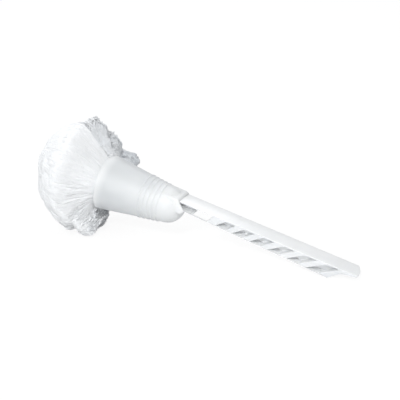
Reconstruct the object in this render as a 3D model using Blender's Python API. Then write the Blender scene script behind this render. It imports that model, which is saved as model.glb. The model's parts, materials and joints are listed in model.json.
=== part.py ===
"""Toilet bowl swab: a yarn head bound to an open-sided plastic handle, with a loose wringer cone.

Metres, +Z up. The swab lies on a level surface: the yarn head holds one end up and the heel of the
handle rests at the other. All pieces are modelled in the swab's own frame and hang from one empty
that gives the resting slope. In that frame the handle runs along X with its grip at +X, its flat
top faces +Z, and X = 0 is the mouth of the cone.
"""

import math

import bmesh
import bpy
from mathutils import Matrix, Vector

MM = 0.001

# Fit
SEAT_GAP = 0.3 * MM
RUNNING_GAP = 0.4 * MM

# How far cutters reach past what they cut
CUT_PAST = 3.0 * MM

# Handle
HANDLE_WIDTH = 19.4 * MM
HANDLE_TOP = 4.0 * MM
HANDLE_DEPTH_AT_CONE = 8.1 * MM
HANDLE_DEPTH_AT_HEEL = 13.0 * MM
SHANK_START = 30.0 * MM
TAPER_START = 85.0 * MM
HEEL_X = 222.5 * MM
TIP_NEAR_X = 247.6 * MM
TIP_FAR_X = 242.6 * MM
TIP_BULGE = 2.0 * MM
TONGUE_THICKNESS = 1.5 * MM
TONGUE_ROOT_THICKNESS = 4.6 * MM
SCOOP_RUN = 10.2 * MM
SCOOP_ROUNDING = 3.0 * MM
PLATE_THICKNESS = 1.1 * MM
RAIL_THICKNESS = 1.1 * MM
WEB_THICKNESS = 2.0 * MM
EDGE_ROUNDING = 0.5 * MM

# Tang that carries the yarn
TANG_WIDTH = 7.0 * MM
TANG_DEPTH = 4.5 * MM
TANG_LENGTH = 44.0 * MM

# Windows in the handle's sides
WINDOW_COUNT = 6
FIRST_WINDOW_X = 122.0 * MM
WINDOW_PITCH = 17.9 * MM
PITCH_GROWTH = 0.8 * MM
WINDOW_SHARE = 0.56
FIRST_WINDOW_SLANT = math.radians(41.0)
SLANT_STEP = math.radians(2.0)
LONG_POCKET_START = 65.0 * MM
SLOT_START = 90.0 * MM
SLOT_END = 109.5 * MM
SLOT_SLANT = math.radians(60.0)
SLOT_WALL = 1.6 * MM

# Cone
MOUTH_RADIUS = 25.4 * MM
DOME_RADIUS = 16.8 * MM
DOME_CENTRE = 62.0 * MM
CONE_WALL = 1.7 * MM
RING_COUNT = 5
LAST_RING_X = 58.0 * MM
RING_PITCH = 4.3 * MM
RING_HEIGHT = 0.55 * MM
RING_WIDTH = 2.0 * MM
CONE_SAG = 8.35 * MM
CONE_TILT = math.radians(3.0)
CONE_TRAVEL = 60.0 * MM
COLLAR_WALL = 1.4 * MM
COLLAR_START = 54.0 * MM
COLLAR_END_TOP = 74.5 * MM
COLLAR_END_BOTTOM = 83.0 * MM
COLLAR_CHIN = 3.5 * MM
COLLAR_ROUNDING = 2.0 * MM
PASSAGE_START = 42.0 * MM
CONE_SIDES = 56

# Yarn head
HEAD_RADIUS = 53.5 * MM
HEAD_CENTRE_X = -10.0 * MM
HEAD_RAISE = 1.0 * MM
HEAD_FLAT = 1.5 * MM
CORE_RADIUS = 19.0 * MM
NECK_RADIUS = 7.0 * MM
NECK_END = 24.0 * MM
LOCK_ROOT_GAP = 0.7 * MM
LOCK_SIDE_GAP = 0.3 * MM
LOCK_SPREAD = 0.015
LOCK_TIP_ROUNDING = 5.0 * MM
CROWN_ANGLE = math.radians(18.0)
FRONT_ANGLE = math.radians(46.0)
SIDE_ANGLE = math.radians(76.0)
REAR_ANGLE = math.radians(98.0)
COMB_ANGLE = math.radians(10.0)
COMB_START = 25.0 * MM
PARTING_ANGLE = math.radians(42.0)
PARTING_TURN = math.radians(22.0)
PARTING_SPAN = math.radians(70.0)
PARTING_EDGE = math.radians(48.0)
FRONT_LOCKS = 6
SIDE_LOCKS = 9
REAR_LOCKS = 10

# Binding wire
WIRE_DIAMETER = 1.2 * MM
WIRE_TURNS = 4
WIRE_PITCH = 1.75 * MM
WIRE_START = HEAD_CENTRE_X + CORE_RADIUS + 1.5 * WIRE_DIAMETER


def underside(x):
    """Height of the handle's underside: level in the cone, then falling evenly to the heel."""
    share = max(0.0, (x - TAPER_START) / (HEEL_X - TAPER_START))
    return HANDLE_TOP - HANDLE_DEPTH_AT_CONE - share * (HANDLE_DEPTH_AT_HEEL - HANDLE_DEPTH_AT_CONE)


def cone_axis(x):
    """Height of the cone's own axis, which hangs below the handle and droops toward its mouth."""
    return -CONE_SAG - (DOME_CENTRE - x) * math.tan(CONE_TILT)


HEAD_CENTRE = Vector((HEAD_CENTRE_X, 0.0, cone_axis(HEAD_CENTRE_X) + HEAD_RAISE))


def resting_slope():
    """Slope at which the head's underside and the handle's heel touch one level surface."""
    reach = HEAD_RADIUS - HEAD_FLAT
    along = HEEL_X - HEAD_CENTRE.x
    rise = HEAD_CENTRE.z - underside(HEEL_X)
    return math.asin(reach / math.hypot(along, rise)) - math.atan2(rise, along)


SLOPE = resting_slope()


def remove_old_objects():
    for old in list(bpy.data.objects):
        bpy.data.objects.remove(old, do_unlink=True)


def make_material(name, colour, roughness):
    material = bpy.data.materials.new(name)
    material.use_nodes = True
    shader = material.node_tree.nodes["Principled BSDF"]
    shader.inputs["Base Color"].default_value = (*colour, 1.0)
    shader.inputs["Roughness"].default_value = roughness
    shader.inputs["Metallic"].default_value = 0.0
    return material


def add_object(name, bm, material=None, parent=None):
    bmesh.ops.recalc_face_normals(bm, faces=bm.faces)
    mesh = bpy.data.meshes.new(name)
    bm.to_mesh(mesh)
    bm.free()
    piece = bpy.data.objects.new(name, mesh)
    bpy.context.scene.collection.objects.link(piece)
    if material:
        mesh.materials.append(material)
    if parent:
        piece.parent = parent
    return piece


def add_cutter(name, bm, parent):
    cutter = add_object(name, bm, parent=parent)
    cutter.hide_render = True
    cutter.display_type = "WIRE"
    return cutter


def add_boolean(piece, cutter, operation):
    step = piece.modifiers.new(cutter.name, "BOOLEAN")
    step.operation = operation
    step.solver = "EXACT"
    step.object = cutter


def shade_round(piece, angle):
    piece.data.shade_smooth()
    piece.data.set_sharp_from_angle(angle=angle)


def prism(bm, outline, axis, low, high):
    """Extrude an outline along Y or Z. The outline is given in the other two coordinates."""
    if axis == "Y":
        corners = [Vector((a, low, b)) for a, b in outline]
        shift = Vector((0.0, high - low, 0.0))
    else:
        corners = [Vector((a, b, low)) for a, b in outline]
        shift = Vector((0.0, 0.0, high - low))
    face = bm.faces.new([bm.verts.new(corner) for corner in corners])
    grown = bmesh.ops.extrude_face_region(bm, geom=[face])
    moved = [item for item in grown["geom"] if isinstance(item, bmesh.types.BMVert)]
    bmesh.ops.translate(bm, verts=moved, vec=shift)


def turned(bm, profile, sides):
    """Turn a profile of (x, radius) points round the X axis. Ends at zero radius are poles."""
    edges = []
    verts = [bm.verts.new((x, 0.0, radius)) for x, radius in profile]
    for first, second in zip(verts, verts[1:]):
        edges.append(bm.edges.new((first, second)))
    bmesh.ops.spin(
        bm,
        geom=verts + edges,
        cent=(0.0, 0.0, 0.0),
        axis=(1.0, 0.0, 0.0),
        angle=math.tau,
        steps=sides,
        use_merge=True,
    )
    bmesh.ops.remove_doubles(bm, verts=bm.verts, dist=0.00001)


def cone_frame():
    """Place of the cone's own axis in the swab's frame, with its mouth's centre at X = 0."""
    centre = Vector((DOME_CENTRE, 0.0, -CONE_SAG))
    turn = Matrix.Rotation(-CONE_TILT, 4, "Y")
    return Matrix.Translation(centre) @ turn @ Matrix.Translation((-DOME_CENTRE, 0.0, 0.0))


def tip_outline():
    """Rounded and slanted end of the tongue seen from above, from its far side to its near side."""
    half = HANDLE_WIDTH / 2
    points = []
    steps = 10
    for step in range(steps + 1):
        share = step / steps
        slant = TIP_FAR_X + (TIP_NEAR_X - TIP_FAR_X) * share
        bulge = TIP_BULGE * math.sin(math.pi * share)
        points.append((slant + bulge, half - HANDLE_WIDTH * share))
    return points


def scoop_outline():
    """Underside of the tongue: it climbs from the heel on a slant and flattens toward the tip."""
    heel = Vector((HEEL_X, underside(HEEL_X)))
    root = Vector((HEEL_X + SCOOP_RUN, HANDLE_TOP - TONGUE_ROOT_THICKNESS))
    tip = Vector((TIP_NEAR_X, HANDLE_TOP - TONGUE_THICKNESS))
    before = root + (heel - root).normalized() * SCOOP_ROUNDING
    after = root + (tip - root).normalized() * SCOOP_ROUNDING
    points = [tuple(heel)]
    steps = 4
    for step in range(steps + 1):
        share = step / steps
        point = before * (1.0 - share) ** 2 + root * 2.0 * share * (1.0 - share) + after * share ** 2
        points.append(tuple(point))
    past = tip + (tip - root).normalized() * TIP_BULGE * 2.0
    points.append(tuple(past))
    points.append((past.x, HANDLE_TOP))
    return points


def window_outline(left, length, slant, bottom_x):
    """Slanted window in the side: its top edge starts at left and its ends lean to the cone."""
    top = HANDLE_TOP - PLATE_THICKNESS
    bottom = underside(bottom_x) + RAIL_THICKNESS
    lean = (top - bottom) / math.tan(slant)
    return [(left, top), (left + length, top), (left + length - lean, bottom), (left - lean, bottom)]


def window_outlines():
    outlines = []
    left = FIRST_WINDOW_X
    pitch = WINDOW_PITCH
    for index in range(WINDOW_COUNT):
        slant = FIRST_WINDOW_SLANT - SLANT_STEP * index
        outlines.append(window_outline(left, pitch * WINDOW_SHARE, slant, left))
        left += pitch
        pitch += PITCH_GROWTH
    return outlines


def make_handle(material, rest):
    half = HANDLE_WIDTH / 2
    tang_half = TANG_WIDTH / 2
    tang_end = SHANK_START - TANG_LENGTH

    side = [(tang_end, TANG_DEPTH / 2), (tang_end, -TANG_DEPTH / 2)]
    side += [(SHANK_START, -TANG_DEPTH / 2), (SHANK_START, underside(SHANK_START))]
    side += [(TAPER_START, underside(TAPER_START))]
    side += scoop_outline()
    side += [(SHANK_START, HANDLE_TOP), (SHANK_START, TANG_DEPTH / 2)]
    bm = bmesh.new()
    prism(bm, side, "Y", -half - CUT_PAST, half + CUT_PAST)
    handle = add_object("handle", bm, material, rest)

    plan = [(tang_end - CUT_PAST, tang_half), (SHANK_START, tang_half), (SHANK_START, half)]
    plan += tip_outline()
    plan += [(SHANK_START, -half), (SHANK_START, -tang_half), (tang_end - CUT_PAST, -tang_half)]
    bm = bmesh.new()
    prism(bm, plan, "Z", -HANDLE_DEPTH_AT_HEEL - CUT_PAST, HANDLE_TOP + CUT_PAST)
    add_boolean(handle, add_cutter("handle_plan", bm, rest), "INTERSECT")

    rounding = handle.modifiers.new("edges", "BEVEL")
    rounding.width = EDGE_ROUNDING
    rounding.segments = 2
    rounding.limit_method = "ANGLE"
    rounding.angle_limit = math.radians(50.0)

    bm = bmesh.new()
    for outline in window_outlines():
        for inner, outer in ((-WEB_THICKNESS / 2, -half - CUT_PAST), (WEB_THICKNESS / 2, half + CUT_PAST)):
            prism(bm, outline, "Y", min(inner, outer), max(inner, outer))
    long_pocket = window_outline(LONG_POCKET_START, SLOT_START - LONG_POCKET_START, math.pi / 2, SLOT_START)
    for inner, outer in ((-WEB_THICKNESS / 2, -half - CUT_PAST), (WEB_THICKNESS / 2, half + CUT_PAST)):
        prism(bm, long_pocket, "Y", min(inner, outer), max(inner, outer))
    add_boolean(handle, add_cutter("handle_windows", bm, rest), "DIFFERENCE")

    bm = bmesh.new()
    through = window_outline(SLOT_START - WEB_THICKNESS, SLOT_END - SLOT_START + WEB_THICKNESS,
                             SLOT_SLANT, SLOT_END)
    through[3] = (through[0][0], through[3][1])
    prism(bm, through, "Y", -half - CUT_PAST, half + CUT_PAST)
    add_boolean(handle, add_cutter("handle_slot", bm, rest), "DIFFERENCE")

    bm = bmesh.new()
    top = HANDLE_TOP - PLATE_THICKNESS - SEAT_GAP
    below = underside(SLOT_END) - CUT_PAST
    lean = (top - underside(SLOT_END)) / math.tan(SLOT_SLANT)
    well = [(SLOT_START, top), (SLOT_END - lean, top), (SLOT_END - lean, below), (SLOT_START, below)]
    prism(bm, well, "Y", -half + SLOT_WALL, half - SLOT_WALL)
    add_boolean(handle, add_cutter("handle_slot_floor", bm, rest), "DIFFERENCE")
    return handle


def cone_outer_profile():
    """Outer wall from the mouth to the top of the dome, with its raised rings."""
    slope = (MOUTH_RADIUS - DOME_RADIUS) / DOME_CENTRE
    points = [(0.0, MOUTH_RADIUS)]
    for index in range(RING_COUNT):
        middle = LAST_RING_X - RING_PITCH * (RING_COUNT - 1 - index)
        for offset, height in ((-0.5, 0.0), (-0.2, 1.0), (0.2, 1.0), (0.5, 0.0)):
            x = middle + offset * RING_WIDTH
            points.append((x, MOUTH_RADIUS - slope * x + height * RING_HEIGHT))
    steps = 12
    for step in range(steps + 1):
        turn = math.pi / 2 * step / steps
        radius = DOME_RADIUS * math.cos(turn)
        points.append((DOME_CENTRE + DOME_RADIUS * math.sin(turn), 0.0 if step == steps else radius))
    return points


def cone_cavity_profile():
    """Inner wall, a wall's thickness inside the outer one, run out past the mouth."""
    slope = (MOUTH_RADIUS - DOME_RADIUS) / DOME_CENTRE
    mouth = MOUTH_RADIUS - CONE_WALL
    inner = DOME_RADIUS - CONE_WALL
    points = [(-CUT_PAST, 0.0), (-CUT_PAST, mouth + slope * CUT_PAST)]
    steps = 9
    for step in range(steps + 1):
        turn = math.pi / 2 * step / steps
        radius = inner * math.cos(turn)
        points.append((DOME_CENTRE + inner * math.sin(turn), 0.0 if step == steps else radius))
    return points


def collar_block(bm):
    """Box round the handle's passage. Its end slants to the handle's underside, then back to the dome."""
    half = HANDLE_WIDTH / 2 + RUNNING_GAP + COLLAR_WALL
    top = HANDLE_TOP + RUNNING_GAP + COLLAR_WALL
    bottom = passage_floor() - COLLAR_WALL
    outline = [(COLLAR_START, top), (COLLAR_END_TOP, top), (COLLAR_END_BOTTOM, underside(COLLAR_END_BOTTOM))]
    outline += [(COLLAR_END_BOTTOM - COLLAR_CHIN, bottom), (COLLAR_START, bottom)]
    prism(bm, outline, "Y", -half, half)
    bmesh.ops.bevel(bm, geom=bm.edges, offset=COLLAR_ROUNDING, segments=4, profile=0.5, affect="EDGES")


def passage_floor():
    """The passage is deep enough for the handle's section where the cone's travel ends."""
    return underside(COLLAR_END_BOTTOM + CONE_TRAVEL) - RUNNING_GAP


def make_cone(material, rest):
    frame = cone_frame()
    bm = bmesh.new()
    profile = cone_outer_profile()
    turned(bm, [(0.0, 0.0)] + profile, CONE_SIDES)
    bmesh.ops.transform(bm, matrix=frame, verts=bm.verts)
    cone = add_object("cone", bm, material, rest)

    bm = bmesh.new()
    collar_block(bm)
    add_boolean(cone, add_cutter("cone_collar", bm, rest), "UNION")

    bm = bmesh.new()
    turned(bm, cone_cavity_profile(), CONE_SIDES)
    bmesh.ops.transform(bm, matrix=frame, verts=bm.verts)
    add_boolean(cone, add_cutter("cone_cavity", bm, rest), "DIFFERENCE")

    bm = bmesh.new()
    half = HANDLE_WIDTH / 2 + RUNNING_GAP
    top = HANDLE_TOP + RUNNING_GAP
    past = COLLAR_END_BOTTOM + DOME_RADIUS
    outline = [(PASSAGE_START, top), (past, top), (past, passage_floor()), (PASSAGE_START, passage_floor())]
    prism(bm, outline, "Y", -half, half)
    add_boolean(cone, add_cutter("cone_passage", bm, rest), "DIFFERENCE")
    shade_round(cone, math.radians(35.0))
    return cone


def make_core(material, rest):
    """Bound middle of the yarn: a ball where the yarns spread and a neck round the tang."""
    bm = bmesh.new()
    bmesh.ops.create_uvsphere(bm, u_segments=20, v_segments=12, radius=CORE_RADIUS)
    bmesh.ops.translate(bm, verts=bm.verts, vec=HEAD_CENTRE)
    core = add_object("yarn_core", bm, material, rest)

    bm = bmesh.new()
    turned(bm, [(HEAD_CENTRE_X, 0.0), (HEAD_CENTRE_X, NECK_RADIUS), (NECK_END, NECK_RADIUS), (NECK_END, 0.0)], 20)
    add_boolean(core, add_cutter("yarn_neck", bm, rest), "UNION")

    bm = bmesh.new()
    tang_end = SHANK_START - TANG_LENGTH - SEAT_GAP
    half = TANG_WIDTH / 2 + SEAT_GAP
    deep = TANG_DEPTH / 2 + SEAT_GAP
    past = NECK_END + CUT_PAST
    prism(bm, [(tang_end, deep), (past, deep), (past, -deep), (tang_end, -deep)], "Y", -half, half)
    add_boolean(core, add_cutter("yarn_tang_hole", bm, rest), "DIFFERENCE")
    shade_round(core, math.radians(50.0))
    return core


def make_wire(material, rest):
    """Steel wire wound round the yarn's neck."""
    curve = bpy.data.curves.new("binding_wire", "CURVE")
    curve.dimensions = "3D"
    curve.bevel_depth = WIRE_DIAMETER / 2
    curve.bevel_resolution = 1
    curve.use_fill_caps = True
    points_per_turn = 20
    count = WIRE_TURNS * points_per_turn + 1
    radius = (NECK_RADIUS + SEAT_GAP + WIRE_DIAMETER / 2) / math.cos(math.pi / points_per_turn)
    path = curve.splines.new("POLY")
    path.points.add(count - 1)
    for index in range(count):
        turn = math.tau * index / points_per_turn
        x = WIRE_START + WIRE_PITCH * index / points_per_turn
        path.points[index].co = (x, radius * math.sin(turn), radius * math.cos(turn), 1.0)
    curve.materials.append(material)
    wire = bpy.data.objects.new("binding_wire", curve)
    bpy.context.scene.collection.objects.link(wire)
    wire.parent = rest
    return wire


def smooth_step(value):
    value = min(max(value, 0.0), 1.0)
    return value * value * (3.0 - 2.0 * value)


def combing(turn):
    """Rearmost yarns are combed back toward the cone, but those on top and on the near side fall forward."""
    away = abs(math.remainder(turn - PARTING_TURN, math.tau)) - PARTING_SPAN
    return COMB_ANGLE - PARTING_ANGLE * (1.0 - smooth_step(away / PARTING_EDGE))


def yarn_direction(polar, turn, radius):
    """Direction from the head's centre, with the combing that grows outward and rearward."""
    share = smooth_step((radius - COMB_START) / (HEAD_RADIUS - COMB_START))
    polar += combing(turn) * share * polar / REAR_ANGLE
    across = math.sin(polar)
    return Vector((-math.cos(polar), -across * math.sin(turn), across * math.cos(turn)))


def head_reach(direction):
    """Distance to the head's surface, which lies flat where it rests on the level surface."""
    down = direction.x * math.sin(SLOPE) - direction.z * math.cos(SLOPE)
    flat = HEAD_RADIUS - HEAD_FLAT
    if down * HEAD_RADIUS > flat:
        return flat / down
    return HEAD_RADIUS


def make_lock(name, polar_range, turn_range, material, rest):
    """One lock of yarn: it widens from the core to the head's surface and ends in a rounded lobe."""
    sides = 12
    stations = [0.0, 0.3, 0.6, 0.82, 0.92, 0.98, 1.0]
    root = CORE_RADIUS + LOCK_ROOT_GAP
    low, high = polar_range
    first, last = turn_range
    whole = low <= 0.0
    bm = bmesh.new()
    rings = []
    for station in stations:
        ring = []
        for side in range(sides):
            angle = math.tau * side / sides
            across = math.copysign(abs(math.cos(angle)) ** 0.5, math.cos(angle))
            along = math.copysign(abs(math.sin(angle)) ** 0.5, math.sin(angle))
            radius = root + (HEAD_RADIUS - root) * station
            lobe = max(0.0, 1.0 - (HEAD_RADIUS - radius) / LOCK_TIP_ROUNDING)
            shrink = 0.7 + 0.3 * math.sqrt(max(0.0, 1.0 - lobe * lobe))
            gap = (LOCK_SIDE_GAP + LOCK_SPREAD * (radius - root)) / radius
            if whole:
                polar = (high - gap) * shrink
                turn = angle
            else:
                polar = (low + high) / 2 + along * shrink * ((high - low) / 2 - gap)
                half_turn = (last - first) / 2 - gap / math.sin(polar)
                turn = (first + last) / 2 + across * shrink * half_turn
            direction = yarn_direction(polar, turn, radius)
            limit = head_reach(direction) / HEAD_RADIUS
            reach = root + (radius - root) * (limit * HEAD_RADIUS - root) / (HEAD_RADIUS - root)
            ring.append(bm.verts.new(HEAD_CENTRE + direction * reach))
        rings.append(ring)
    for inner, outer in zip(rings, rings[1:]):
        for side in range(sides):
            after = (side + 1) % sides
            bm.faces.new((inner[side], inner[after], outer[after], outer[side]))
    for ring, radius in ((rings[0], root), (rings[-1], HEAD_RADIUS)):
        middle = yarn_direction(0.0 if whole else (low + high) / 2, (first + last) / 2, radius)
        hub = bm.verts.new(HEAD_CENTRE + middle * min(radius, head_reach(middle)))
        for side in range(sides):
            bm.faces.new((ring[side], ring[(side + 1) % sides], hub))
    bmesh.ops.triangulate(bm, faces=bm.faces)
    lock = add_object(name, bm, material, rest)
    shade_round(lock, math.radians(50.0))
    return lock


def make_head(material, rest):
    make_lock("yarn_crown", (0.0, CROWN_ANGLE), (0.0, math.tau), material, rest)
    rows = (
        ("yarn_front", FRONT_LOCKS, CROWN_ANGLE, FRONT_ANGLE, 0.0),
        ("yarn_side", SIDE_LOCKS, FRONT_ANGLE, SIDE_ANGLE, 0.5),
        ("yarn_rear", REAR_LOCKS, SIDE_ANGLE, REAR_ANGLE, 0.25),
    )
    for label, count, low, high, stagger in rows:
        step = math.tau / count
        for index in range(count):
            first = (index + stagger - 0.5) * step
            make_lock(f"{label}_{index + 1}", (low, high), (first, first + step), material, rest)


def put_on_level_surface(rest):
    """Set the origin at the middle of the box's underside."""
    bpy.context.view_layer.update()
    graph = bpy.context.evaluated_depsgraph_get()
    corners = []
    for piece in bpy.context.scene.objects:
        if piece.type in {"MESH", "CURVE"} and not piece.hide_render:
            ready = piece.evaluated_get(graph)
            mesh = ready.to_mesh()
            corners += [ready.matrix_world @ vert.co for vert in mesh.vertices]
            ready.to_mesh_clear()
    low = [min(corner[axis] for corner in corners) for axis in range(3)]
    high = [max(corner[axis] for corner in corners) for axis in range(3)]
    rest.location = (-(low[0] + high[0]) / 2, -(low[1] + high[1]) / 2, -low[2])


def main():
    remove_old_objects()
    handle_plastic = make_material("handle_plastic", (0.86, 0.88, 0.90), 0.32)
    cone_plastic = make_material("cone_plastic", (0.80, 0.83, 0.86), 0.30)
    yarn = make_material("yarn", (0.88, 0.90, 0.93), 0.95)
    steel = make_material("steel_wire", (0.55, 0.56, 0.58), 0.35)

    rest = bpy.data.objects.new("swab_rest", None)
    bpy.context.scene.collection.objects.link(rest)
    rest.rotation_euler = (0.0, SLOPE, 0.0)

    make_handle(handle_plastic, rest)
    make_cone(cone_plastic, rest)
    make_core(yarn, rest)
    make_wire(steel, rest)
    make_head(yarn, rest)
    put_on_level_surface(rest)


main()
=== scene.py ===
import json
import math

import bmesh
import bpy
import numpy as np
from mathutils import Matrix, Vector

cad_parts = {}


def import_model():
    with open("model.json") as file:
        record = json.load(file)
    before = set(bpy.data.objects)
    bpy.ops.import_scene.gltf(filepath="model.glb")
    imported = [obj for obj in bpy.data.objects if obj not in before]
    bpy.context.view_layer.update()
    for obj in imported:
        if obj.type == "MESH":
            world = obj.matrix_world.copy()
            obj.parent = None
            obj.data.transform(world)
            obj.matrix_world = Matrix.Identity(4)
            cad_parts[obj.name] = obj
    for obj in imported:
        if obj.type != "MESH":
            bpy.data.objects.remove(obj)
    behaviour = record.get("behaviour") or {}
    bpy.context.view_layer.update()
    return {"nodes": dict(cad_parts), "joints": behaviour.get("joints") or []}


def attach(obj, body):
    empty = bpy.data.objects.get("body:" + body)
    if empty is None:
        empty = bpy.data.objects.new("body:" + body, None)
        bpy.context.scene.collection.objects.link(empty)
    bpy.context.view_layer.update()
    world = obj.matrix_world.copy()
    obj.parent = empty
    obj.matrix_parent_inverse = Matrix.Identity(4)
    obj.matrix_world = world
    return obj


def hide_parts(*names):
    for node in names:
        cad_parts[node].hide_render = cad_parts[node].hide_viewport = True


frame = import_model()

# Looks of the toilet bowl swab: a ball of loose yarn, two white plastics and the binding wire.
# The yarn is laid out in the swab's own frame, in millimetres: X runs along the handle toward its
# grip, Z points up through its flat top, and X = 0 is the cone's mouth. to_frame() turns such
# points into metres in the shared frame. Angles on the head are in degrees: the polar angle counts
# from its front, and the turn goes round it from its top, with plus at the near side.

MM = 0.001

# How the swab lies, in metres
SLIDE = frame["joints"][0]["axis"]
SLOPE = math.atan2(-SLIDE[2], SLIDE[0])
SWAB_PLACE = Vector((-87.993, -2.336, 60.493)) * MM
FLOOR_CLEARANCE = 0.45 * MM
FLOOR_SOFTNESS = 1.5 * MM

# Where the plastics change their tone, in metres: out from the handle's middle plane, past which
# its outer flat sides are painted greyer than its top and pockets, a painted shade and painted
# light; and
# along the cone from its mouth: a lighter rim, then a painted shade from the head that fades toward
# the dome
HANDLE_SIDE_SHADE = (0.00935, 0.0096)
CONE_RIM = (0.0005, 0.009)
CONE_SHADE_FADE = (0.012, 0.065)
CONE_DOME_SHADE_FADE = (0.055, 0.085)

# Distance within which split facets are joined, in metres, and the sharpest edge shaded round
JOIN_DISTANCE = 0.000002
MOULDED_EDGE = math.radians(28.0)
WIRE_EDGE = math.radians(60.0)

# Yarn head: a ball that is open at the rear, where a slanted face runs out from the cone's mouth
HEAD_CENTRE = np.array((-10.0, 0.0, -11.12))
HEAD_RADIUS = 54.2

# Where a yarn starts inside the mouth and where it passes the cone's rim: place along X from the
# head's centre, and distance from its axis. A deeper yarn passes the rim further forward.
MOUTH_START = np.array((14.0, 19.0))
MOUTH_EDGE = np.array((8.4, 24.8))
RIM_SHIFT = 0.7

# Rear edge of the ball: turn and polar angle. Above and at the near side the yarn falls forward.
REAR_EDGE = (
    (-180.0, 102.0), (-169.0, 105.0), (-155.0, 102.0), (-149.0, 96.0), (-125.0, 95.0),
    (-100.0, 106.0), (-84.0, 110.0), (-80.5, 104.0), (-78.0, 86.0), (-69.0, 83.0),
    (-60.0, 78.0), (-54.0, 72.0), (-35.0, 69.0), (0.0, 67.0), (60.0, 68.0),
    (85.0, 69.0), (105.0, 75.0), (125.0, 86.0), (145.0, 101.0), (158.0, 109.0),
    (180.0, 102.0))

# Neighbours that a point of the skin is averaged with: shift along the yarn, and weight
NEIGHBOURS = ((-4.5, 0.25), (0.0, 0.5), (4.5, 0.25))

# Fold on top, where the combed yarn ends and the curled rear face lies lower. A pair is the start
# and the width of a change, as ease() takes them.
FOLD_TURN = 8.0
FOLD_BEGINS = (FOLD_TURN, -3.0)
FOLD_ENDS = (-62.0, 20.0)
FOLD_DROP = 4.5
FOLD_WAY = np.array((0.62, 0.78))

# Where the yarn is curled: turns on the rear face, turns at the underside, where it is weaker, and
# how far from the head's centre the face and the ball begin
CURLS_BEGIN = (FOLD_TURN, -4.0)
CURLS_END = (-150.0, 40.0)
UNDERSIDE = (138.0, 14.0)
UNDERSIDE_SHARE = 0.4
FACE_BEGINS = (26.0, 8.0)
BALL_BEGINS = (45.0, 7.0)

# Knobs and dents of the yarn: polar angle, turn, height, half widths of the two angles
KNOBS = (
    (69.0, -19.0, 2.4, 7.0, 8.0), (101.0, -81.0, 3.5, 8.0, 7.0), (30.0, 55.0, 2.4, 20.0, 60.0),
    (97.0, 150.0, 1.8, 4.0, 7.0), (91.0, 143.0, -5.0, 3.0, 15.0), (84.0, 146.0, 1.4, 5.0, 8.0),
    (96.0, 166.0, -5.0, 16.0, 4.0), (70.0, -57.0, 2.5, 9.0, 7.0), (106.0, 156.0, 2.2, 7.0, 6.0),
    (77.0, -12.0, -4.0, 7.0, 10.0), (80.0, -34.0, 2.5, 12.0, 6.0), (80.0, -52.0, -3.5, 7.0, 7.0))

# Relief of the yarn, tufts first and then the locks in them: wave length, share of the height that
# is asked for on the ball, and height on the curled rear face
RELIEF = ((22.0, 1.0, 3.0), (9.0, 0.2, 3.6))
RELIEF_WAVES = 28
VALLEY_SHARPNESS = 1.2
BALL_HEIGHT = 2.4
CURL_HEIGHT = 3.0

# Yarns
SEED = 11
YARN_RADIUS = 0.30
YARN_WIDTHS = (0.8, 1.2)
YARN_TONES = (0.7, 1.0)
YARN_TAPER = 0.5

# Combed yarns: the polar angle at which they stop, their lengths, how far they stray, how deep
# they lie, and how far their ends and their way over the rear face dip under the others
COMBED_STOP = 4.0
COMBED_LENGTHS = (30.0, 60.0)
COMBED_STRAY = 2.0
COMBED_DEPTHS = (0.0, 0.35)
COMBED_DIP = 1.6
DIP_BEGINS = (9.0, 4.0)
DIP_PAST_EDGE = 3.0
DIP_ENDS = -6.0
DIP_TURNS = (-110.0, 10.0)

# Tufts on the ball: they turn by the golden angle from one to the next, which spreads them evenly
TUFT_TURN = 137.50776
TUFT_REACH = 1.24
TUFT_SCATTER = 1.2
TUFT_EDGE_GAP = 6.0
TUFT_LEAN = 10.0
TUFT_LEAN_SPREAD = 4.0
TUFT_ROOT = 14.0
TUFT_RISE = 0.2
TUFT_SINK = 1.3
TUFT_SINKS = (30.0, 30.0)
TUFT_RADIUS = 1.9

# Curls on the rear face. Their tones reach lower than the other yarn's, a painted shade on the rear
# face, and the yarn of the tuft at the far side is painted darker still, a painted shade.
CURL_MARGINS = (8.0, 4.0)
CURL_LIMITS = (7.0, 5.0)
CURL_RUNS = (8.0, 16.0)
CURL_DEPTH = 0.8
CURL_LIFTS = (0.05, 0.28)
CURL_LIFT_RUN = 9.0
CURL_RADIUS = 1.3
CURL_PITCH = 7.0
CURL_SPREAD = 0.42
CURL_SHADED_TONES = (0.55, 1.0)
FACE_RADIUS = 38.0
FAR_TUFT = (-66.0, -12.0)
FAR_TUFT_SHADE = 0.9

# Closed body under the yarns. Its lower tone is a painted shade where it shows between them.
MASS_LINES = 150
MASS_STEPS = 60
MASS_DEPTH = 2.2
MASS_STOP = 3.0
MASS_TIP_DEPTH = 3.0
MASS_BACK = np.array((9.0, 0.0, -9.0))
MASS_SHADE_TONE = 0.4

# Yarn at the neck, which is gathered round the tang
NECK_START = 4.0
NECK_END = 22.8
NECK_END_SPREAD = 0.9
NECK_RADIUS = 5.3
NECK_LAYER = 0.9
NECK_FLARE = 0.8
NECK_FLARES = (0.72, 0.28)

# The photograph's camera
CAMERA_PLACE = Vector((0.549752, -1.182876, 0.568668))
CAMERA_AIM = Vector((0.002907, -0.004077, 0.047861))
CAMERA_ROLL = math.radians(0.16)
CAMERA_LENS = 143.27

# Lamps: name, azimuth and elevation, size in metres, power in watts, colour
WHITE = (1.0, 1.0, 1.0)
COOL_WHITE = (0.98, 0.99, 1.0)
LAMP_DISTANCE = 1.6
LAMPS = (
    ("key", 12.0, 36.0, 0.2, 11.0, (1.0, 0.998, 0.99)),
    ("right", 50.0, 45.0, 0.4, 5.0, WHITE),
    ("left", -70.0, 25.0, 0.6, 5.5, COOL_WHITE),
    ("low", 0.0, 2.0, 0.9, 8.2, COOL_WHITE),
    ("back", 205.0, 50.0, 0.9, 7.0, COOL_WHITE))


# Nodes


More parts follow.
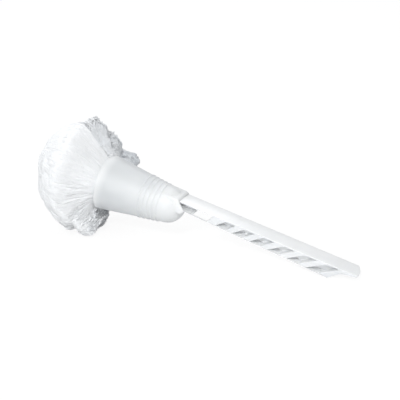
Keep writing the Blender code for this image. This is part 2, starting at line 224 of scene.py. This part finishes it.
class Value:
    """A socket whose operators add Math nodes, so shader maths reads as plain expressions."""

    def __init__(self, nodes, socket):
        self.nodes = nodes
        self.socket = socket

    def math(self, operation, *others):
        operands = dict(enumerate((self, *others)))
        return self.nodes.value("ShaderNodeMath", {"operation": operation}, operands)

    def __add__(self, other):
        return self.math("ADD", other)

    def __sub__(self, other):
        return self.math("SUBTRACT", other)

    def __rsub__(self, other):
        return (self * -1.0).math("ADD", other)

    def __mul__(self, other):
        return self.math("MULTIPLY", other)

    __radd__ = __add__
    __rmul__ = __mul__

    def clamped(self):
        return self.math("MINIMUM", 1.0).math("MAXIMUM", 0.0)

    def ramp(self, low, high):
        """0 below low, 1 above high, smooth between."""
        return self.nodes.value("ShaderNodeMapRange", {"interpolation_type": "SMOOTHSTEP"}, {
            "Value": self, "From Min": low, "From Max": high})


class Nodes:
    """A node tree and the ways in which the script adds to it."""

    def __init__(self, tree):
        self.tree = tree

    def add(self, kind, settings=None, inputs=None):
        node = self.tree.nodes.new(kind)
        for name, value in (settings or {}).items():
            setattr(node, name, value)
        self.fill(node, inputs or {})
        return node

    def fill(self, node, inputs):
        """Give sockets of a node their values or links."""
        for name, value in inputs.items():
            if isinstance(value, Value):
                value = value.socket
            if isinstance(value, bpy.types.NodeSocket):
                self.tree.links.new(value, node.inputs[name])
            else:
                node.inputs[name].default_value = value

    def value(self, kind, settings=None, inputs=None, output=0):
        return Value(self, self.add(kind, settings, inputs).outputs[output])


def shader(name):
    """A new material, its nodes and its Principled shader."""
    material = bpy.data.materials.new(name)
    material.use_nodes = True
    nodes = Nodes(material.node_tree)
    return material, nodes, material.node_tree.nodes["Principled BSDF"]


def object_point(nodes, scale=(1.0, 1.0, 1.0), turn=(0.0, 0.0, 0.0)):
    """Object coordinates, turned and stretched."""
    point = nodes.add("ShaderNodeTexCoord").outputs["Object"]
    mapping = nodes.add("ShaderNodeMapping", None, {
        "Vector": point, "Rotation": turn, "Scale": scale})
    return mapping.outputs["Vector"]


def coordinate(nodes, axis, point):
    """One coordinate of a point."""
    return nodes.value("ShaderNodeSeparateXYZ", None, {0: point}, axis)


def noise(nodes, point, scale, detail):
    return nodes.value("ShaderNodeTexNoise", None, {
        "Vector": point, "Scale": scale, "Detail": detail, "Roughness": 0.5})


def blend_colours(nodes, share, first, second):
    """Mix of two colours by a share."""
    pair = [(*colour, 1.0) if isinstance(colour, tuple) else colour for colour in (first, second)]
    mix = nodes.add("ShaderNodeMix", {"data_type": "RGBA"}, {
        "Factor": share, "A": pair[0], "B": pair[1]})
    return mix.outputs["Result"]


def bump(nodes, height, distance, strength):
    """Normal of a surface with a fine relief."""
    relief_node = nodes.add("ShaderNodeBump", None, {
        "Height": height, "Distance": distance, "Strength": strength})
    return relief_node.outputs["Normal"]


def seen_directly(nodes):
    """1 for rays from the camera, off gloss and through glass, and 0 for all others."""
    rays = nodes.add("ShaderNodeLightPath").outputs
    camera_ray = Value(nodes, rays["Is Camera Ray"])
    return (camera_ray + rays["Is Glossy Ray"] + rays["Is Transmission Ray"]).clamped()


# Materials


def handle_plastic():
    """White moulding with faint flow marks and a satin skin. Its two flat outer sides are painted
    greyer and its top and pockets paler: painted shade and painted light.
    """
    material, nodes, principled = shader("handle_white_plastic")
    flow = noise(nodes, object_point(nodes, (14.0, 60.0, 60.0), (0.0, SLOPE, 0.0)), 1.0, 3.0)
    cloud = noise(nodes, object_point(nodes), 38.0, 2.0)
    grain = noise(nodes, object_point(nodes), 2600.0, 2.0)
    across = coordinate(nodes, "Y", object_point(nodes)) - SWAB_PLACE.y
    # Painted shade and painted light: the outer flat sides are painted greyer, the top and the
    # pockets paler.
    side = across.math("ABSOLUTE").ramp(*HANDLE_SIDE_SHADE)
    dark = blend_colours(nodes, side, (0.850, 0.862, 0.872), (0.725, 0.740, 0.755))
    pale = blend_colours(nodes, side, (0.895, 0.903, 0.910), (0.775, 0.786, 0.796))
    share = (flow * 0.6 + cloud * 0.4).ramp(0.35, 0.65)
    nodes.fill(principled, {
        "Base Color": blend_colours(nodes, share, dark, pale),
        "Roughness": 0.30 + flow * 0.14,
        "Normal": bump(nodes, grain * 0.4 + flow * 0.6, 0.00003, 0.5),
        "Specular IOR Level": 0.45,
        "Subsurface Weight": 0.15,
        "Subsurface Radius": (0.004, 0.004, 0.0045),
        "Subsurface Scale": 1.0})
    return material


def cone_plastic():
    """Thin milky moulding with a lighter rim. Behind it the shell is painted darker, a painted
    shade from the head, that lightens toward its dome.
    """
    material, nodes, principled = shader("cone_milky_plastic")
    cloud = noise(nodes, object_point(nodes, (1.0, 1.4, 1.4)), 26.0, 2.0)
    fine = noise(nodes, object_point(nodes), 420.0, 3.0)
    mouth = math.cos(SLOPE) * SWAB_PLACE.x - math.sin(SLOPE) * SWAB_PLACE.z
    level = object_point(nodes, turn=(0.0, -SLOPE, 0.0))
    along = coordinate(nodes, "X", level) - mouth
    rim = 1.0 - along.ramp(*CONE_RIM)
    # Painted shade: the shell is darker near the mouth, where the head shades it, and lightens
    # toward the dome.
    share = cloud.ramp(0.36, 0.64) * 0.15 + along.ramp(*CONE_SHADE_FADE) * 0.45
    share = share + along.ramp(*CONE_DOME_SHADE_FADE) * 0.4 + rim * 0.5
    nodes.fill(principled, {
        "Base Color": blend_colours(nodes, share, (0.590, 0.612, 0.634), (0.880, 0.892, 0.904)),
        "Roughness": 0.38 + fine * 0.12,
        "Normal": bump(nodes, fine, 0.00004, 0.35),
        "Specular IOR Level": 0.5,
        "Subsurface Weight": 0.25,
        "Subsurface Radius": (0.006, 0.006, 0.007),
        "Subsurface Scale": 1.0})
    return material


def yarn_material():
    """Fine white yarn with flecks, in the tone that each yarn carries, which holds painted shade on
    the rear curls, the far tuft and the body under the yarn.
    """
    material, nodes, principled = shader("white_yarn")
    tone = nodes.value("ShaderNodeAttribute", {"attribute_name": "tone"}, output="Fac")
    fleck = noise(nodes, object_point(nodes), 900.0, 3.0)
    share = (tone * 0.75 + fleck * 0.25).clamped()
    nodes.fill(principled, {
        "Base Color": blend_colours(nodes, share, (0.700, 0.732, 0.770), (0.970, 0.975, 0.982)),
        "Roughness": 0.85 + fleck * 0.15,
        "Normal": bump(nodes, fleck, 0.00006, 0.4),
        "Specular IOR Level": 0.15,
        "Sheen Weight": 0.4,
        "Sheen Roughness": 0.6})
    return material


def wire_steel():
    """Drawn steel wire with faint streaks."""
    material, nodes, principled = shader("drawn_wire")
    streak = noise(nodes, object_point(nodes), 1500.0, 2.0)
    nodes.fill(principled, {
        "Base Color": blend_colours(nodes, streak, (0.48, 0.49, 0.50), (0.66, 0.67, 0.68)),
        "Roughness": 0.28 + streak * 0.2,
        "Normal": bump(nodes, streak, 0.00003, 0.5),
        "Metallic": 1.0})
    return material


# Shape of the head

draw = np.random.default_rng(SEED)
WAVES = draw.normal(0.0, 1.0, (RELIEF_WAVES, 3))
WAVES = WAVES / np.linalg.norm(WAVES, axis=1, keepdims=True) * math.tau
WAVE_STARTS = draw.uniform(0.0, math.tau, RELIEF_WAVES)


def ease(value, start, width):
    """0 up to start, 1 from width past it on, smooth between. A minus width goes backwards."""
    share = np.clip((value - start) / width, 0.0, 1.0)
    return share * share * (3.0 - 2.0 * share)


def turn_between(turn, other):
    """Signed angle from one turn to another, in degrees."""
    return (turn - other + 180.0) % 360.0 - 180.0


def rear_limit(turn):
    """Polar angle of the head's rear edge."""
    turns, limits = zip(*REAR_EDGE)
    return np.interp(turn_between(turn, 0.0), turns, limits)


def relief(points, size):
    """Round bumps about half of size across: near 1 on top, and 0 in the sharp valleys between."""
    total = np.zeros(points.shape[:-1])
    for wave, start in zip(WAVES, WAVE_STARTS):
        total += np.sin(points @ wave / size + start)
    spread = math.sqrt(RELIEF_WAVES / 2)
    return (1.0 - np.exp(-VALLEY_SHARPNESS * np.abs(total) / spread))[..., None]


def on_ball(polar, turn, radius):
    """Point at a polar angle, a turn and a distance from the head's centre."""
    polar = np.radians(polar)
    turn = np.radians(turn)
    across = np.sin(polar)
    way = np.stack((-np.cos(polar), -across * np.sin(turn), across * np.cos(turn)), -1)
    return HEAD_CENTRE + np.asarray(radius)[..., None] * way


def ball_sides(polar, turn):
    """Unit vectors along growing polar angle and along growing turn."""
    polar = np.radians(polar)
    turn = np.radians(turn)
    down = np.cos(polar)
    rearward = np.stack((np.sin(polar), -down * np.sin(turn), down * np.cos(turn)), -1)
    around = np.stack((np.zeros_like(turn), -np.cos(turn), -np.sin(turn)), -1)
    return rearward, around


def in_half_plane(angle, radius):
    """Place along X and distance from the axis, at an angle in radians from the head's front."""
    return np.stack((-np.cos(angle) * radius, np.sin(angle) * radius), -1)


def skin(along, turn, depth):
    """Points under the head's skin: out of the mouth, over the rear face, then forward.

    The line is averaged over its neighbourhood, which rounds the head's rear edge.
    """
    limit = np.radians(rear_limit(turn))
    radius = HEAD_RADIUS - depth
    edge = in_half_plane(limit, radius)
    rim = MOUTH_EDGE - np.stack((depth, 0.0 * depth), -1) * RIM_SHIFT
    lip_run = np.linalg.norm(rim - MOUTH_START, axis=-1)
    face_run = np.linalg.norm(edge - rim, axis=-1)
    flat = 0.0
    for shift, weight in NEIGHBOURS:
        gone = along + shift
        lip = np.clip(gone / lip_run, 0.0, 1.0)[..., None]
        face = np.clip((gone - lip_run) / face_run, 0.0, 1.0)[..., None]
        ball = in_half_plane(limit - np.maximum(gone - lip_run - face_run, 0.0) / radius, radius)
        line = MOUTH_START + (rim - MOUTH_START) * lip + (edge - rim) * face + (ball - edge)
        flat = flat + weight * line
    share = np.clip((along - lip_run) / face_run, 0.0, 1.0)
    sunk = ease(turn, *FOLD_BEGINS) * ease(turn, *FOLD_ENDS)
    flat = flat - (FOLD_DROP * sunk * np.sin(share * math.pi) ** 0.5)[..., None] * FOLD_WAY
    angle = np.radians(turn)
    return HEAD_CENTRE + np.stack(
        (flat[..., 0], -flat[..., 1] * np.sin(angle), flat[..., 1] * np.cos(angle)), -1)


def skin_length(turn, polar):
    """Distance along the skin from inside the mouth to a polar angle."""
    limit = np.radians(rear_limit(turn))
    edge = in_half_plane(limit, HEAD_RADIUS)
    lip_run = np.linalg.norm(MOUTH_EDGE - MOUTH_START)
    face_run = np.linalg.norm(edge - MOUTH_EDGE, axis=-1)
    return lip_run + face_run + HEAD_RADIUS * np.maximum(limit - np.radians(polar), 0.0)


def swell(points, height):
    """Raise points by the head's knobs and sink them in its valleys, deepest where it is curled."""
    away = points - HEAD_CENTRE
    distance = np.linalg.norm(away, axis=-1, keepdims=True)
    turn = np.degrees(np.arctan2(-away[..., 1], away[..., 2]))[..., None]
    polar = np.degrees(np.arccos(-away[..., :1] / distance))
    curled = ease(turn, *CURLS_BEGIN) * ease(turn, *CURLS_END)
    curled = np.maximum(curled, UNDERSIDE_SHARE * ease(np.abs(turn), *UNDERSIDE))
    ball = ease(distance, *BALL_BEGINS)
    face = ease(distance, *FACE_BEGINS)
    raised = np.zeros_like(turn)
    for knob_polar, knob_turn, knob_height, polar_width, turn_width in KNOBS:
        near = ((polar - knob_polar) / polar_width) ** 2
        near = near + (turn_between(turn, knob_turn) / turn_width) ** 2
        raised += knob_height * face * np.exp(-near)
    for size, ball_share, curl_height in RELIEF:
        deep = np.maximum(ball * ball_share * height, face * curled * curl_height)
        raised += deep * (relief(points, size) - 1.0)
    return points + away / distance * raised


def to_frame(points):
    """Points in the swab's own frame as metres in the shared frame, kept clear of the floor."""
    matrix = np.array(Matrix.Translation(SWAB_PLACE) @ Matrix.Rotation(SLOPE, 4, "Y"))
    moved = (points.reshape(-1, 3) * MM) @ matrix[:3, :3].T + matrix[:3, 3]
    low = moved[:, 2] - FLOOR_CLEARANCE
    eased = FLOOR_SOFTNESS * np.exp(np.minimum(low, FLOOR_SOFTNESS) / FLOOR_SOFTNESS - 1.0)
    moved[:, 2] = FLOOR_CLEARANCE + np.where(low > FLOOR_SOFTNESS, low, eased)
    return moved.reshape(points.shape)


# Yarns: each function gives the yarns' paths, tones and widths


def shares(steps):
    """Steps from 0 to 1 in a row, which goes with a column of yarns."""
    return np.linspace(0.0, 1.0, steps)[None, :]


def shades(count, steps):
    """A tone for each yarn and a width that tapers to its end."""
    tone = np.repeat(draw.uniform(*YARN_TONES, count)[:, None], steps, 1)
    width = draw.uniform(*YARN_WIDTHS, count)[:, None] * (1.0 - YARN_TAPER * shares(steps) ** 8)
    return tone, width


def combed_yarn(count):
    """Yarns that lie combed over the head, each seen for a part of its way to the front."""
    steps = 15
    turn = draw.uniform(-180.0, 180.0, count)
    full = skin_length(turn, COMBED_STOP)
    middle = draw.uniform(0.0, 1.0, count) * full
    around = skin(middle, turn, np.zeros(count)) - HEAD_CENTRE
    off_axis = np.linalg.norm(around[:, 1:], axis=1) / HEAD_RADIUS
    keep = draw.uniform(0.0, 1.0, count) < off_axis
    turn, full, middle = turn[keep, None], full[keep, None], middle[keep, None]
    number = len(turn)
    share = shares(steps)
    length = draw.uniform(*COMBED_LENGTHS, (number, 1))
    along = np.clip(middle + length * (share - 0.5), 1.0, full)
    turns = turn + draw.normal(0.0, COMBED_STRAY, (number, 1)) * share
    depth = draw.uniform(*COMBED_DEPTHS, (number, 1)) + COMBED_DIP * (2.0 * share - 1.0) ** 4
    to_edge = skin_length(turn, rear_limit(turn)) + DIP_PAST_EDGE
    behind = ease(along, *DIP_BEGINS) * ease(along, to_edge, DIP_ENDS)
    depth += COMBED_DIP * behind * ease(turns, *CURLS_BEGIN) * ease(turns, *DIP_TURNS)
    return swell(skin(along, turns, depth), BALL_HEIGHT), *shades(number, steps)


def tufted_yarn(tufts, each):
    """Tufts of yarn ends all over the ball, which come up from inside it."""
    steps = 8
    index = np.arange(tufts) + 0.5
    polar = np.degrees(np.arccos(1.0 - TUFT_REACH * index / tufts))
    polar = polar + draw.normal(0.0, TUFT_SCATTER, tufts)
    turn = (index * TUFT_TURN) % 360.0 - 180.0 + draw.normal(0.0, TUFT_SCATTER, tufts)
    keep = polar < rear_limit(turn) - TUFT_EDGE_GAP
    polar, turn = np.abs(np.repeat(polar[keep], each)), np.repeat(turn[keep], each)
    count = len(polar)
    polar = polar[:, None]
    turn = np.repeat(turn[:, None], steps, 1)
    share = shares(steps)
    lean = draw.normal(0.0, TUFT_LEAN_SPREAD, count)[:, None] + TUFT_LEAN
    lean = polar + lean * (1.0 - share)
    radius = HEAD_RADIUS - TUFT_ROOT * (1.0 - share) - TUFT_SINK * ease(polar, *TUFT_SINKS)
    radius = radius + TUFT_RISE
    rearward, around = ball_sides(lean, turn)
    angle = draw.uniform(0.0, math.tau, count)[:, None]
    away = TUFT_RADIUS * np.sqrt(draw.uniform(0.0, 1.0, count))[:, None] * (1.4 - 0.4 * share)
    path = on_ball(lean, turn, radius) + rearward * (away * np.cos(angle))[..., None]
    path = path + around * (away * np.sin(angle))[..., None]
    return swell(path, BALL_HEIGHT), *shades(count, steps)


def curly_yarn(tufts, each, low, high, lift):
    """Curled tufts on the rear face between two turns, which lie in all directions and stand up."""
    steps = 14
    turn = draw.uniform(low, high, (tufts, 1))
    full = skin_length(turn, rear_limit(turn))
    start = CURL_MARGINS[0] + (full - sum(CURL_MARGINS)) * draw.uniform(0.0, 1.0, (tufts, 1)) ** 0.8
    run = draw.uniform(*CURL_RUNS, (tufts, 1)) * shares(steps)
    heading = draw.uniform(0.0, math.tau, (tufts, 1))
    turns = np.clip(turn + np.degrees(run * np.sin(heading) / FACE_RADIUS), low, high)
    along = np.clip(start + run * np.cos(heading), CURL_LIMITS[0], full + CURL_LIMITS[1])
    rise = lift * draw.uniform(*CURL_LIFTS, (tufts, 1))
    depth = CURL_DEPTH - rise * np.minimum(run, CURL_LIFT_RUN)
    path = swell(skin(along, turns, depth), CURL_HEIGHT)
    first = draw.normal(0.0, 1.0, (tufts, 1, 3))
    first = first / np.linalg.norm(first, axis=2, keepdims=True)
    second = np.cross(first, np.roll(first, 1, axis=2))
    phase = draw.uniform(0.0, math.tau, (tufts, 1)) + run * math.tau / CURL_PITCH
    phase = phase[..., None]
    path = path + CURL_RADIUS * (first * np.cos(phase) + second * np.sin(phase))
    path = np.repeat(path, each, 0) + draw.normal(0.0, CURL_SPREAD, (tufts * each, 1, 3))
    tone, width = shades(tufts * each, steps)
    # Painted shade: the far tuft's yarn is darker, and each curled tuft's tone is lowered.
    painted_far_shade = 1.0 - FAR_TUFT_SHADE * ease(turn, *FAR_TUFT)
    tuft_tone = painted_far_shade * draw.uniform(*CURL_SHADED_TONES, (tufts, 1))
    return path, np.repeat(tuft_tone, each, 0) * tone, width


def neck_yarn(count):
    """Yarn gathered round the tang under the wire, flaring a little where it ends in the cone."""
    steps = 10
    turn = draw.uniform(0.0, math.tau, count)[:, None]
    layer = draw.uniform(0.0, 1.0, count)[:, None]
    along = shares(steps)
    end = NECK_END + draw.normal(0.0, NECK_END_SPREAD, count)[:, None]
    x = NECK_START + (end - NECK_START) * along
    radius = NECK_RADIUS + NECK_LAYER * layer + NECK_FLARE * layer * ease(along, *NECK_FLARES)
    path = np.stack((x, -radius * np.sin(turn), radius * np.cos(turn)), -1)
    tone = np.repeat(draw.uniform(0.0, 1.0, count)[:, None], steps, 1)
    return path, tone, np.ones((count, steps))


# Pieces of yarn


def new_object(name, data):
    """A new object in the scene."""
    thing = bpy.data.objects.new(name, data)
    bpy.context.scene.collection.objects.link(thing)
    return thing


def line_piece(name, path, tone, width):
    """Piece of open poly lines, one for each yarn, that the tube nodes turn into yarn."""
    count, steps, _ = path.shape
    mesh = bpy.data.meshes.new(name)
    mesh.vertices.add(count * steps)
    mesh.vertices.foreach_set("co", to_frame(path).astype(np.float32).ravel())
    first = np.arange(count * steps).reshape(count, steps)
    edges = np.stack((first[:, :-1], first[:, 1:]), -1).reshape(-1, 2)
    mesh.edges.add(len(edges))
    mesh.edges.foreach_set("vertices", edges.astype(np.int32).ravel())
    for label, values in (("tone", tone), ("width", width)):
        attribute = mesh.attributes.new(label, "FLOAT", "POINT")
        attribute.data.foreach_set("value", values.astype(np.float32).ravel())
    mesh.update()
    return new_object(name, mesh)


def tube_tree():
    """Geometry nodes that turn poly lines into wavy, tapering yarns."""
    group = bpy.data.node_groups.new("yarn_tubes", "GeometryNodeTree")
    socket = group.interface.new_socket
    socket("Geometry", in_out="INPUT", socket_type="NodeSocketGeometry")
    sizes = (
        ("Yarn radius", "NodeSocketFloat", YARN_RADIUS * MM),
        ("Wave height", "NodeSocketFloat", 0.5 * MM),
        ("Waves per metre", "NodeSocketFloat", 90.0),
        ("Sides", "NodeSocketInt", 3),
        ("Yarn", "NodeSocketMaterial", None))
    for label, kind, default in sizes:
        item = socket(label, in_out="INPUT", socket_type=kind)
        if default is not None:
            item.default_value = default
    socket("Geometry", in_out="OUTPUT", socket_type="NodeSocketGeometry")
    nodes = Nodes(group)
    source = nodes.add("NodeGroupInput").outputs
    curve = nodes.add("GeometryNodeMeshToCurve", None, {"Mesh": source["Geometry"]}).outputs[0]
    position = nodes.add("GeometryNodeInputPosition").outputs[0]
    waves = nodes.add("ShaderNodeTexNoise", None, {
        "Vector": position, "Scale": source["Waves per metre"], "Detail": 2.0, "Roughness": 0.6})
    centred = nodes.add("ShaderNodeVectorMath", {"operation": "SUBTRACT"}, {
        0: waves.outputs["Color"], 1: (0.5, 0.5, 0.5)})
    offset = nodes.add("ShaderNodeVectorMath", {"operation": "SCALE"}, {
        0: centred.outputs[0], "Scale": Value(nodes, source["Wave height"]) * 4.0})
    curve = nodes.add("GeometryNodeSetPosition", None, {
        "Geometry": curve, "Offset": offset.outputs[0]}).outputs[0]
    width = nodes.value("GeometryNodeInputNamedAttribute", {"data_type": "FLOAT"}, {
        "Name": "width"})
    circle = nodes.add("GeometryNodeCurvePrimitiveCircle", None, {
        "Resolution": source["Sides"], "Radius": 1.0}).outputs["Curve"]
    tube = nodes.add("GeometryNodeCurveToMesh", None, {
        "Curve": curve, "Profile Curve": circle,
        "Scale": width * source["Yarn radius"], "Fill Caps": True}).outputs[0]
    for kind in ("GeometryNodeSetShadeSmooth", "GeometryNodeRealizeInstances"):
        tube = nodes.add(kind, None, {"Geometry": tube}).outputs[0]
    tube = nodes.add("GeometryNodeSetMaterial", None, {
        "Geometry": tube, "Material": source["Yarn"]}).outputs[0]
    nodes.add("NodeGroupOutput", None, {"Geometry": tube})
    return group


def grow(piece, group, material, wave_height):
    """Run the tube nodes on a piece and leave a plain mesh."""
    step = piece.modifiers.new("yarn", "NODES")
    step.node_group = group
    given = {"Yarn": material, "Wave height": wave_height}
    for item in group.interface.items_tree:
        if item.in_out == "INPUT" and item.name in given:
            step[item.identifier] = given[item.name]
    bpy.context.view_layer.update()
    ready = piece.evaluated_get(bpy.context.evaluated_depsgraph_get())
    mesh = bpy.data.meshes.new_from_object(ready)
    piece.modifiers.remove(step)
    old = piece.data
    piece.data = mesh
    bpy.data.meshes.remove(old)
    return piece


def yarn_mass(material):
    """Closed body under the loose yarn, so that no light comes through the head."""
    turn = 360.0 * np.arange(MASS_LINES) / MASS_LINES
    length = skin_length(turn, MASS_STOP)[:, None]
    under = np.full((MASS_LINES, 1), MASS_DEPTH)
    lines = skin(length * (1.0 - shares(MASS_STEPS)), turn[:, None], under)
    lines = swell(lines, BALL_HEIGHT)[:, :-1]
    tip = on_ball(np.array(0.0), np.array(0.0), np.array(HEAD_RADIUS - MASS_TIP_DEPTH))
    placed = to_frame(np.concatenate((lines.reshape(-1, 3), tip[None, :], MASS_BACK[None, :])))
    bm = bmesh.new()
    verts = [bm.verts.new(tuple(point)) for point in placed]
    front, back = verts[-2:]
    steps = lines.shape[1]
    for index in range(MASS_LINES):
        line = verts[index * steps:(index + 1) * steps]
        after = (index + 1) % MASS_LINES * steps
        after = verts[after:after + steps]
        for step in range(steps - 1):
            bm.faces.new((line[step], after[step], after[step + 1], line[step + 1]))
        bm.faces.new((front, after[0], line[0]))
        bm.faces.new((back, line[-1], after[-1]))
    bmesh.ops.recalc_face_normals(bm, faces=bm.faces)
    mesh = bpy.data.meshes.new("yarn_mass")
    bm.to_mesh(mesh)
    bm.free()
    # Painted shade: the body's lower tone darkens the gaps between the yarns.
    tone = mesh.attributes.new("tone", "FLOAT", "POINT")
    tone.data.foreach_set("value", np.full(len(mesh.vertices), MASS_SHADE_TONE, np.float32))
    mesh.materials.append(material)
    mesh.shade_smooth()
    return new_object("yarn_mass", mesh)


def yarn_pieces(material):
    """Every piece of yarn. A family is split, so that no piece passes the limit of faces."""
    group = tube_tree()
    pieces = [yarn_mass(material)]
    combed = combed_yarn(12500)
    tufted = tufted_yarn(tufts=2100, each=7)
    top = curly_yarn(tufts=620, each=7, low=-92.0, high=4.0, lift=1.0)
    bottom = curly_yarn(tufts=110, each=8, low=150.0, high=215.0, lift=0.15)
    # Name, yarns, height of their waves in mm, most yarns in one piece
    families = (
        ("combed_yarn", combed, 0.30, 2200), ("tufted_yarn", tufted, 0.35, 3700),
        ("top_curls", top, 0.35, 2400), ("bottom_curls", bottom, 0.35, 2400))
    for label, yarns, wave, most in families:
        for index, first in enumerate(range(0, len(yarns[0]), most)):
            part = [values[first:first + most] for values in yarns]
            piece = line_piece(f"{label}_{index + 1}", *part)
            pieces.append(grow(piece, group, material, wave * MM))
    piece = line_piece("neck_yarn", *neck_yarn(420))
    pieces.append(grow(piece, group, material, 0.12 * MM))
    return pieces


# Studio


def place_from(azimuth, elevation):
    """A lamp's place round the swab: azimuth 0 is straight in front, plus is toward the grip."""
    azimuth = math.radians(azimuth)
    elevation = math.radians(elevation)
    level = LAMP_DISTANCE * math.cos(elevation)
    return CAMERA_AIM + Vector((
        level * math.sin(azimuth), -level * math.cos(azimuth),
        LAMP_DISTANCE * math.sin(elevation)))


def soft_lamp(name, place, size, energy, colour):
    """Round lamp that is aimed at the swab's middle."""
    lamp = bpy.data.lights.new(name, "AREA")
    lamp.shape = "DISK"
    lamp.size = size
    lamp.energy = energy
    lamp.color = colour
    holder = new_object(name, lamp)
    holder.location = place
    holder.rotation_euler = (CAMERA_AIM - place).to_track_quat("-Z", "Y").to_euler()


def camera():
    """The photograph's own view."""
    data = bpy.data.cameras.new("photo_camera")
    data.lens = CAMERA_LENS
    data.sensor_width = 36.0
    data.clip_end = 30.0
    holder = new_object("photo_camera", data)
    turn = (CAMERA_AIM - CAMERA_PLACE).to_track_quat("-Z", "Y").to_matrix().to_4x4()
    roll = Matrix.Rotation(CAMERA_ROLL, 4, "Z")
    holder.matrix_world = Matrix.Translation(CAMERA_PLACE) @ turn @ roll
    bpy.context.scene.camera = holder


def world():
    """Soft grey light all round; the camera, gloss and glass see white."""
    sky = bpy.data.worlds.new("studio")
    bpy.context.scene.world = sky
    sky.use_nodes = True
    sky.node_tree.nodes.clear()
    nodes = Nodes(sky.node_tree)
    soft = nodes.add("ShaderNodeBackground", None, {
        "Color": (0.96, 0.98, 1.0, 1.0), "Strength": 0.32})
    white = nodes.add("ShaderNodeBackground", None, {"Color": (*WHITE, 1.0), "Strength": 1.0})
    mix = nodes.add("ShaderNodeMixShader", None, {
        0: seen_directly(nodes), 1: soft.outputs[0], 2: white.outputs[0]})
    nodes.add("ShaderNodeOutputWorld", None, {"Surface": mix.outputs[0]})


def floor():
    """Pale level floor that looks nearly white and keeps a faint shadow."""
    bpy.ops.mesh.primitive_plane_add(size=8.0, location=(0.0, 0.0, 0.0))
    plane = bpy.context.object
    plane.name = "floor"
    material, nodes, principled = shader("pale_floor")
    nodes.fill(principled, {
        "Base Color": (0.75, 0.75, 0.75, 1.0), "Roughness": 0.9, "Specular IOR Level": 0.0})
    pale = nodes.add("ShaderNodeBsdfDiffuse", None, {"Color": (0.9, 0.9, 0.9, 1.0)})
    lit = nodes.add("ShaderNodeEmission", None, {"Color": (*WHITE, 1.0), "Strength": 1.05})
    shown = nodes.add("ShaderNodeMixShader", None, {
        0: 0.85, 1: pale.outputs[0], 2: lit.outputs[0]})
    mix = nodes.add("ShaderNodeMixShader", None, {
        0: seen_directly(nodes), 1: principled.outputs[0], 2: shown.outputs[0]})
    nodes.fill(material.node_tree.nodes["Material Output"], {"Surface": mix.outputs[0]})
    plane.data.materials.append(material)


# Making


def polished(node, body, material, crease):
    """Copy of a CAD node with its split facets joined and its round faces shaded smooth."""
    mesh = frame["nodes"][node].data.copy()
    mesh.name = node + "_moulding"
    bm = bmesh.new()
    bm.from_mesh(mesh)
    bmesh.ops.remove_doubles(bm, verts=bm.verts, dist=JOIN_DISTANCE)
    bm.to_mesh(mesh)
    bm.free()
    for label in ("custom_normal", "sharp_edge", "sharp_face"):
        if label in mesh.attributes:
            mesh.attributes.remove(mesh.attributes[label])
    mesh.shade_smooth()
    mesh.set_sharp_from_angle(angle=crease)
    mesh.materials.clear()
    mesh.materials.append(material)
    piece = new_object(node + "_moulding", mesh)
    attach(piece, body)
    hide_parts(node)


polished("cone", "wringer_cone", cone_plastic(), MOULDED_EDGE)
polished("handle", "swab", handle_plastic(), MOULDED_EDGE)
polished("binding_wire", "swab", wire_steel(), WIRE_EDGE)

soft_nodes = [name for name in frame["nodes"] if name.startswith("yarn_")]
for piece in yarn_pieces(yarn_material()):
    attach(piece, "swab")
    if piece.name == "neck_yarn":
        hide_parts("yarn_core")
    else:
        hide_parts(*[name for name in soft_nodes if name != "yarn_core"])

camera()
world()
floor()
for name, azimuth, elevation, size, energy, colour in LAMPS:
    soft_lamp(name, place_from(azimuth, elevation), size, energy, colour)

bpy.context.scene.view_settings.view_transform = "Standard"
